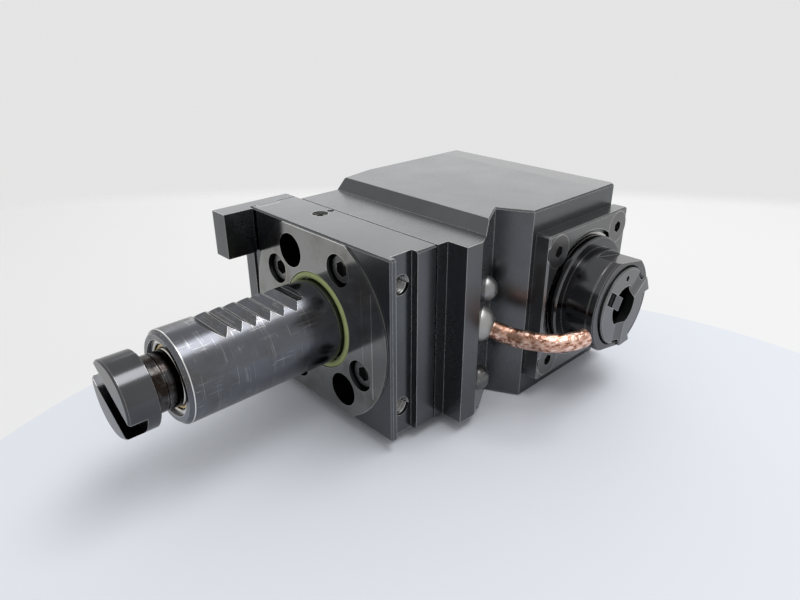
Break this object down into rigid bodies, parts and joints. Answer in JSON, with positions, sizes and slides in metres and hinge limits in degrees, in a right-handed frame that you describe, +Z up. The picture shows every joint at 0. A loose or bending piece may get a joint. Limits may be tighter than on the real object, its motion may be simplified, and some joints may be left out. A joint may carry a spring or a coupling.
{
  "type": "driven right-angle tool holder",
  "caption": "Driven right-angle tool holder for a lathe turret: serrated round shank, flange, gear housing and a cross spindle with clamping nut and a copper coolant tube.",
  "frame": {"origin": "where the shank's axis meets the flange's contact face", "axes": "-X along the shank towards its end, -Y along the spindle towards its nose, +Z up"},
  "size_m": [0.1836, 0.1139, 0.073],
  "materials": {
    "black_steel": "black oxide over milled steel, satin, worn bright at edges",
    "flange_steel": "black oxide, ground and scuffed on the shank",
    "screw_steel": "black oxide, worn at the sockets",
    "shaft_steel": "hardened and blackened, turned and ground bands",
    "ground_steel": "ground, bright",
    "bearing_steel": "polished bearing steel",
    "ball_steel": "silver grey, dull",
    "cage_brass": "stamped brass",
    "copper": "bent copper, scraped bright with brown patina",
    "seal_rubber": "yellow green rubber",
    "dark_rubber": "dark rubber"
  },
  "bodies": {
    "holder": {"shank_flange": "flange_steel", "flange_screws": "screw_steel", "coolant_plugs": "screw_steel", "locating_block": "black_steel", "block_screws": "screw_steel", "shank_oring": "seal_rubber", "gear_housing": "black_steel", "bearing_cap": "black_steel", "cap_screws": "screw_steel", "sealing_ring": "ground_steel", "input_outer_spacer": "ground_steel", "input_shaft_seal": "dark_rubber", "shank_bearing_outer_ring": "bearing_steel", "input_bearing_outer_ring": "bearing_steel", "spindle_bearing_outer_ring": "bearing_steel", "rear_bearing_outer_ring": "bearing_steel"},
    "input_shaft": {"input_shaft": "shaft_steel", "input_bevel_gear": "ground_steel", "input_gear_nut": "black_steel", "input_gear_key": "ground_steel", "shank_bearing_inner_ring": "bearing_steel", "input_bearing_inner_ring": "bearing_steel", "input_inner_spacer": "ground_steel", "input_lock_nut": "black_steel"},
    "output_spindle": {"spindle": "shaft_steel", "clamping_nut": "shaft_steel", "drive_tongue": "shaft_steel", "output_bevel_gear": "ground_steel", "output_gear_nut": "black_steel", "output_gear_key": "ground_steel", "spindle_bearing_inner_ring": "bearing_steel", "rear_bearing_inner_ring": "bearing_steel", "spindle_spacer": "ground_steel", "rear_retaining_ring": "black_steel"},
    "tube_nozzle": {"tube_ball": "ball_steel", "coolant_tube": "copper"},
    "upper_nozzle": {"upper_jet_ball": "ball_steel"},
    "lower_nozzle": {"lower_jet_ball": "ball_steel"},
    "shank_ball_set": {"shank_bearing_cage": "cage_brass", "shank_bearing_balls": "bearing_steel"},
    "input_ball_set": {"input_bearing_cage": "cage_brass", "input_bearing_balls": "bearing_steel"},
    "spindle_ball_set": {"spindle_bearing_cage": "cage_brass", "spindle_bearing_balls": "bearing_steel"},
    "rear_ball_set": {"rear_bearing_cage": "cage_brass", "rear_bearing_balls": "bearing_steel"}
  },
  "joints": [
    {"name": "output_spin", "type": "hinge", "parent": "holder", "child": "output_spindle", "pos_m": [0.0865, 0, 0], "axis": [0, 1, 0], "continuous": true},
    {"name": "input_spin", "type": "hinge", "parent": "holder", "child": "input_shaft", "pos_m": [0, 0, 0], "axis": [1, 0, 0], "continuous": true},
    {"name": "shank_cage_orbit", "type": "hinge", "parent": "holder", "child": "shank_ball_set", "pos_m": [0, 0, 0], "axis": [1, 0, 0], "continuous": true},
    {"name": "input_cage_orbit", "type": "hinge", "parent": "holder", "child": "input_ball_set", "pos_m": [0, 0, 0], "axis": [1, 0, 0], "continuous": true},
    {"name": "spindle_cage_orbit", "type": "hinge", "parent": "holder", "child": "spindle_ball_set", "pos_m": [0.0865, 0, 0], "axis": [0, 1, 0], "continuous": true},
    {"name": "rear_cage_orbit", "type": "hinge", "parent": "holder", "child": "rear_ball_set", "pos_m": [0.0865, 0, 0], "axis": [0, 1, 0], "continuous": true},
    {"name": "tube_swivel", "type": "hinge", "parent": "holder", "child": "tube_nozzle", "pos_m": [0.03831, -0.03975, 0], "axis": [0, 0, 1], "range_deg": [-15, 0]},
    {"name": "upper_jet_swivel", "type": "hinge", "parent": "holder", "child": "upper_nozzle", "pos_m": [0.04417, -0.0375, 0.0103], "axis": [0, 0, 1], "range_deg": [-15, 15]},
    {"name": "lower_jet_swivel", "type": "hinge", "parent": "holder", "child": "lower_nozzle", "pos_m": [0.03795, -0.04112, -0.021], "axis": [0, 0, 1], "range_deg": [-15, 15]}
  ],
  "couplings": [
    {"joint": "input_spin", "follows": "output_spin", "ratio": -1},
    {"joint": "shank_cage_orbit", "follows": "output_spin", "ratio": -0.43846},
    {"joint": "input_cage_orbit", "follows": "output_spin", "ratio": -0.38},
    {"joint": "spindle_cage_orbit", "follows": "output_spin", "ratio": 0.42836},
    {"joint": "rear_cage_orbit", "follows": "output_spin", "ratio": 0.38}
  ]
}
